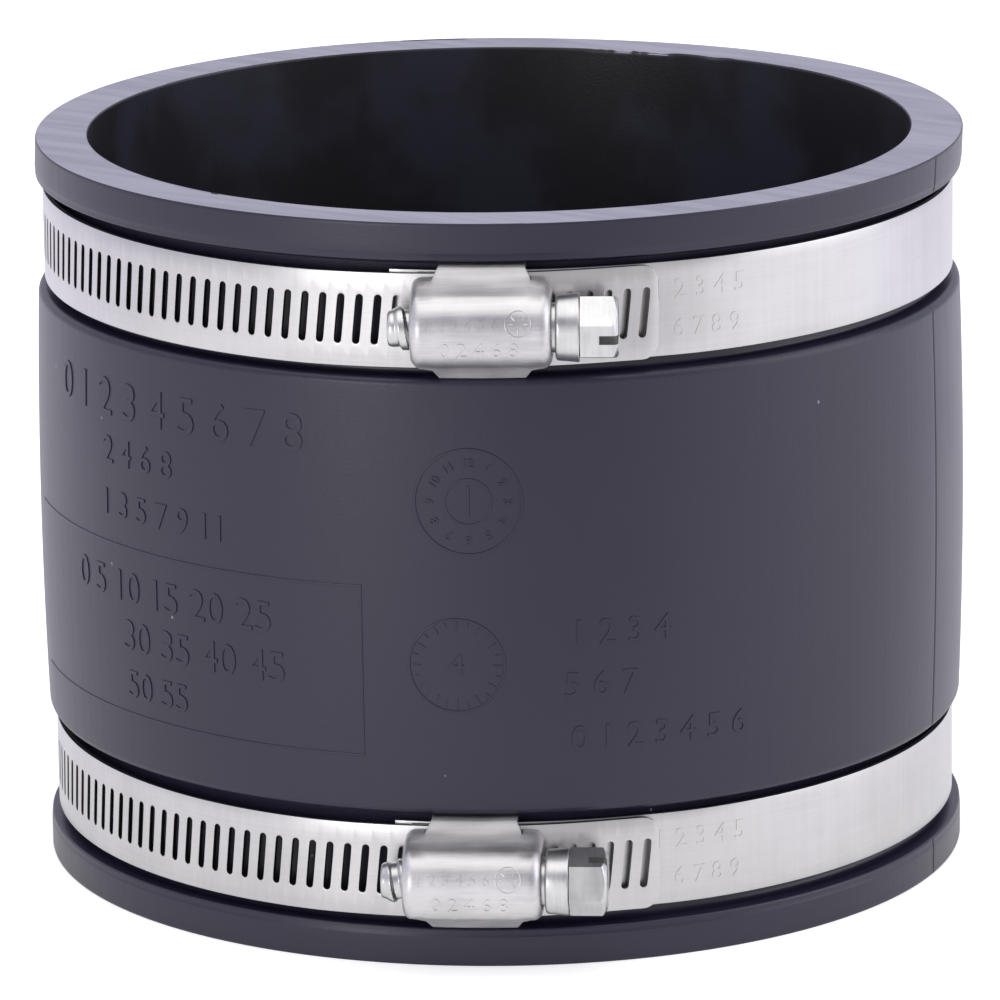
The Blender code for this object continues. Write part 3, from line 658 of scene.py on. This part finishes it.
def pressed_finish():
    """Pressed stainless sheet: bright and a little cloudy, with fine draw lines and darker creases."""
    sheet = Finish("pressed_sheet", (0.66, 0.65, 0.65), 0.25, 1.0)
    place = sheet.place()
    cloud = sheet.noise(place, 160, 3.0)
    lines = sheet.noise(sheet.stretched(place, (120, 2400, 2400)), 1.0, 2.0)
    pitted = sheet.noise(place, 1500, 2.0)
    shade = cloud * 0.6 + lines * 0.4
    height = sheet.math("ABSOLUTE", sheet.part(place, 2))
    bent = sheet.math("ABSOLUTE", height - CLAMP_AT * 0.001).between(0.0048, 0.0058)
    sheet.set("Base Color", sheet.blend(shade.between(0.3, 0.7), (0.55, 0.54, 0.548), (0.70, 0.69, 0.695)))
    sheet.set("Roughness", 0.3 + cloud * 0.17 + lines * 0.06 + bent * 0.14)
    sheet.bump(cloud * 1.2 + lines * 0.4 + pitted * 0.5, 0.3, 0.00008)
    return sheet.material


def housing_marks():
    """Two rows of small figures and a ring of ticks, pressed on the dome: x along the screw, y across it."""
    middle = (5.0, 1.6)
    parts = [figures("1 2 3 4 5 6", 2.3, (-2.6, 1.5), lift=0.17),
             bead(ring_path(middle, 1.7, 40), 0.3, 0.12, True),
             figures("0 2 4 6 8", 2.9, (-0.2, -2.1), lift=0.12)]
    for turn in np.arange(8) * tau / 8:
        tick = middle + np.array([[0.7], [1.25]]) * (cos(turn), sin(turn))
        parts.append(bead(tick, 0.22, 0.1, False))
    points, faces = together(parts)
    arch = np.arcsin(np.clip(points[:, 1] / DOME, -0.98, 0.98))
    reach = DOME - 0.02 + points[:, 2] - PRESS_DEPTH * bump_near(DOME * np.cos(arch), DOME, 0.5)
    return np.stack([points[:, 0], -SCREW_AXIS - reach * np.cos(arch), reach * np.sin(arch)], axis=-1), faces


def on_clamp(points, turn, height):
    """Points of a clamp facing the front, turned round the pipe axis and raised to the clamp's height."""
    spin = np.array([[cos(turn), -sin(turn), 0], [sin(turn), cos(turn), 0], [0, 0, 1]])
    return points @ spin.T + (0, 0, height)


pressed_steel = pressed_finish()
for name, height, turn, _ in CLAMPS:
    skin, faces = housing_points()
    housing = add_piece(name + "_cover", on_clamp(skin, turn, height), faces, pressed_steel)
    middle = on_clamp(np.array([(0, -SCREW_AXIS, 0)]), turn, height)[0] * 0.001
    tidy_shell(housing, middle)
    sheet_metal(housing, HOUSING_SHEET, 0.07)
    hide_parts(name + "_housing")
    skin, faces = housing_marks()
    stamps = add_piece(name + "_cover_marks", on_clamp(skin, turn, height), faces, pressed_steel)
    for piece in (housing, stamps):
        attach(piece, name + "_clamp")


# Saddles. A plain steel plate lies under the screw in each clamp, between the strip's two layers. Only its
# edges show, so the solid keeps its shape and takes the finish.

for name in ("upper", "lower"):
    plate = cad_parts[name + "_saddle"]
    plate.data.materials.clear()
    plate.data.materials.append(strip_steel)


# Screws. Each is turned and rolled from one steel bar: a blunt pilot, the thread that engages the slots, a
# collar, and a slotted hexagon head.

PILOT = 2.45
ROOT = 3.3
THREAD = 4.3
COLLAR_AT = 9.75
HEX_AT = 12.9
HEX_END = 18.0
HEX_HALF = 3.97
COLUMNS = 72
HEAD_TURNS = ((radians(-14.4), radians(13)), (radians(18), radians(-62)))


def screw_profile():
    """Distance along the screw and radius from the pilot's tip to the head's end, and what each ring
    carries: 0 for plain, 1 for the thread, 2 for the hexagon and 3 for the low start of the thread on the
    pilot."""
    tip = bow((-11.7, 1.85), 0.58, 180, 90, 6)
    pilot = np.linspace(-11.55, -8.5, 34)
    thread = np.linspace(-8.3, 8.3, 150)
    collar = np.concatenate([[(8.5, ROOT), (COLLAR_AT, ROOT), (COLLAR_AT, 3.8)],
                             bow((COLLAR_AT + 0.5, 3.85), 0.5, 180, 90, 6),
                             [(COLLAR_AT + 1.5, 4.42), (HEX_AT - 0.25, 4.56)],
                             bow((HEX_AT - 0.15, 4.45), 0.12, 90, 0, 4),
                             [(HEX_AT, 4.1), (HEX_AT + 0.03, 3.9)]])
    hexagon = np.concatenate([[HEX_AT + 0.06], np.linspace(HEX_AT + 0.1, HEX_END - 0.8, 8),
                              np.linspace(HEX_END - 0.7, HEX_END, 8)])
    rings = [(tip[:, 0], tip[:, 1], 0), (pilot, np.full(34, PILOT), 3), (thread, np.full(150, ROOT), 1),
             (collar[:, 0], collar[:, 1], 0), (hexagon, np.full(17, HEX_HALF), 2)]
    return (np.concatenate([along for along, radius, kind in rings]),
            np.concatenate([radius for along, radius, kind in rings]),
            np.concatenate([np.full(len(along), kind) for along, radius, kind in rings]))


def screw_points(hex_turn, ahead):
    """Rings of points about the screw's own axis. The thread adds a flat-topped ridge where distance less
    turn is a whole pitch. The hexagon's radius is its half width over the cosine of the turn from a flat's
    middle, cut by a cone at its end."""
    x, radius, kind = (column[:, None] for column in screw_profile())
    turn = hex_turn + np.linspace(0, tau, COLUMNS + 1)[None, :-1]
    phase = PITCH_RADIUS * (LAST_SLOT - tau) + ahead * PITCH
    place = (x - phase) / PITCH - turn / tau
    away = np.abs(place - np.round(place)) * PITCH
    ends = ease(8.25 - np.abs(x), 0, 1.2)
    ridge = np.clip((0.44 - away) / 0.21, 0, 1) * ends
    flat = HEX_HALF / np.cos(np.mod(turn - hex_turn, pi / 3) - pi / 6)
    cone = 3.62 + (HEX_END - x) * 1.5
    hexagon = np.minimum(np.minimum(flat, cone), 3.93 + (x - HEX_AT - 0.06) * 16)
    start = 0.45 * np.clip((0.85 - away) / 0.4, 0, 1) * ease(x + 11.9, 0, 1.3)
    shapes = [radius + (THREAD - ROOT) * ridge, hexagon, radius + start]
    r = np.select([kind == 1, kind == 2, kind == 3], shapes, radius)
    points = np.stack([np.broadcast_to(x, r.shape), r * np.cos(turn), r * np.sin(turn)], axis=-1)
    middles = np.array([(x[0, 0], 0, 0), (x[-1, 0], 0, 0)])
    faces = [tuple(face) for face in grid_faces(len(x), COLUMNS, wrap_columns=True)]
    count = len(x) * COLUMNS
    last = count - COLUMNS
    faces += [(count, k, (k + 1) % COLUMNS) for k in range(COLUMNS)]
    faces += [(count + 1, last + (k + 1) % COLUMNS, last + k) for k in range(COLUMNS)]
    return np.concatenate([points.reshape(-1, 3), middles]), faces


def cut_driver_slot(screw, turn, clamp_turn, height):
    """Cut a straight slot across the head with a box, then drop the box."""
    reach = np.array([2.5, 8.0, 0.65])
    x, y, z = (reach * [(i, j, k) for i in (-1, 1) for j in (-1, 1) for k in (-1, 1)]).T
    spun = np.stack([x, y * cos(turn) - z * sin(turn), y * sin(turn) + z * cos(turn)], axis=1)
    sides = [(0, 1, 3, 2), (4, 6, 7, 5), (0, 4, 5, 1), (2, 3, 7, 6), (0, 2, 6, 4), (1, 5, 7, 3)]
    box = add_piece("slot_cutter", on_clamp(spun + (HEX_END, -SCREW_AXIS, 0), clamp_turn, height), sides,
                    screw_steel)
    cut = screw.modifiers.new("Driver slot", "BOOLEAN")
    cut.operation, cut.object, cut.solver = "DIFFERENCE", box, "EXACT"
    done = bpy.data.meshes.new_from_object(screw.evaluated_get(bpy.context.evaluated_depsgraph_get()))
    screw.modifiers.clear()
    screw.data = done
    bpy.data.objects.remove(box)
    done.shade_smooth()
    done.set_sharp_from_angle(angle=radians(32))


def screw_finish():
    """Plated steel, bright where the die and the spanner have rubbed it, with turning marks round it."""
    plated = Finish("plated_screw", (0.66, 0.66, 0.66), 0.22, 1.0)
    place = plated.place()
    rings = plated.noise(plated.stretched(place, (2600, 200, 200)), 1.0, 2.0)
    cloud = plated.noise(place, 300, 3.0)
    shade = cloud * 0.7 + rings * 0.3
    plated.set("Base Color", plated.blend(shade.between(0.3, 0.7), (0.55, 0.55, 0.56), (0.69, 0.68, 0.675)))
    plated.set("Roughness", 0.2 + cloud * 0.18 + rings * 0.05)
    plated.bump(cloud + rings * 0.5, 0.3, 0.00008)
    return plated.material


screw_steel = screw_finish()
for (name, height, turn, ahead), (hex_turn, slot_turn) in zip(CLAMPS, HEAD_TURNS):
    points, faces = screw_points(hex_turn, ahead)
    points = on_clamp(points + (0, -SCREW_AXIS, 0), turn, height)
    screw = add_piece(name + "_worm", points, faces, screw_steel)
    tidy_shell(screw, on_clamp(np.array([(0, -SCREW_AXIS, 0)]), turn, height)[0] * 0.001)
    cut_driver_slot(screw, slot_turn, turn, height)
    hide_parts(name + "_screw")
    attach(screw, name + "_screw")


# Floor, light and camera. A white sweep under soft light from above and the front, and a long lens that
# looks down a little into the bore.

class Sky(Finish):
    """The nodes of the world, built as a finish's are."""

    def __init__(self, world):
        self.tree = world.node_tree
        self.shader = self.tree.nodes["Background"]


def stage():
    """A pale floor under the sleeve's lower end, three broad lamps, a white surround and the camera. The
    camera sees floor and surround white. To the part they are dimmer in front, as in a room where a
    photographer stands."""
    sweep = Finish("pale_floor", (0.75, 0.75, 0.75), 0.9, emission_strength=0.55)
    seen, mirrored = sweep.ray(0), sweep.ray(3) + sweep.ray(6)
    side, depth = (sweep.part(sweep.place(), axis) for axis in (0, 1))
    bearing = side / (0 - depth + 0.001)
    shaded = bearing.between(-0.22, 0.1) * (1 - bearing.between(0.5, 1.0)) * (0 - depth).between(0.13, 0.2)
    light = seen + (mirrored - mirrored * shaded * 0.8) * 0.72
    tint = sweep.blend(depth.between(0.0, 0.1) * mirrored, (1.0, 1.0, 1.0), (0.82, 0.78, 1.0))
    sweep.set("Emission Color", sweep.blend(light, (0.0, 0.0, 0.0), tint))
    half, foot = 3000, -HALF_LENGTH
    floor = add_piece("floor", [(-half, -half, foot), (half, -half, foot), (half, half, foot),
                                (-half, half, foot)], [(0, 1, 2, 3)], sweep.material)
    for name, place, turn, size, power in (("left_lamp", (-0.53, -0.8, 0.13), (82, 0, -33), 0.32, 1.35),
                                           ("right_lamp", (0.95, -0.1, 0.4), (70, 0, 84), 0.8, 2.9),
                                           ("top_lamp", (-0.1, -0.25, 1.1), (13, 0, -20), 1.2, 2.4)):
        lamp = bpy.data.lights.new(name, "AREA")
        lamp.energy = power
        lamp.size = size
        holder = bpy.data.objects.new(name, lamp)
        holder.location = place
        holder.rotation_euler = [radians(angle) for angle in turn]
        bpy.context.scene.collection.objects.link(holder)
    surround = bpy.data.worlds.new("white_surround")
    surround.use_nodes = True
    sky = Sky(surround)
    from_middle = sky.node("TexCoord", {}, output=0)
    depth, rise = (sky.part(from_middle, axis) for axis in (1, 2))
    front = (0 - depth).between(0.2, 0.8)
    gap = rise.between(0.12, 0.3) * (1 - rise.between(0.6, 0.8)) * front
    level = 0.82 - front * 0.12 + rise.between(0.55, 0.85) * 0.32 - gap * 0.28
    ahead = front + (1 - front) * rise.between(0.6, 0.9)
    seen = sky.ray(0)
    shade = sky.blend(ahead - gap, (0.86, 0.855, 1.0), (1.0, 0.99, 0.985))
    shade = sky.blend(seen, shade, (1.0, 1.0, 1.0))
    sky.feed(sky.shader.inputs["Color"], shade)
    sky.feed(sky.shader.inputs["Strength"], seen + (1 - seen) * level)
    bpy.context.scene.world = surround

    lens = bpy.data.cameras.new("camera")
    lens.lens = 277.1
    lens.sensor_width = 36
    camera = bpy.data.objects.new("camera", lens)
    camera.location = (-0.0003, -1.04914, 0.26677)
    camera.rotation_euler = (Matrix.Rotation(pi / 2 - 0.2516, 3, "X")
                             @ Matrix.Rotation(-0.0134, 3, "Z")).to_euler()
    bpy.context.scene.collection.objects.link(camera)
    bpy.context.scene.camera = camera
    bpy.context.scene.view_settings.view_transform = "Standard"


stage()
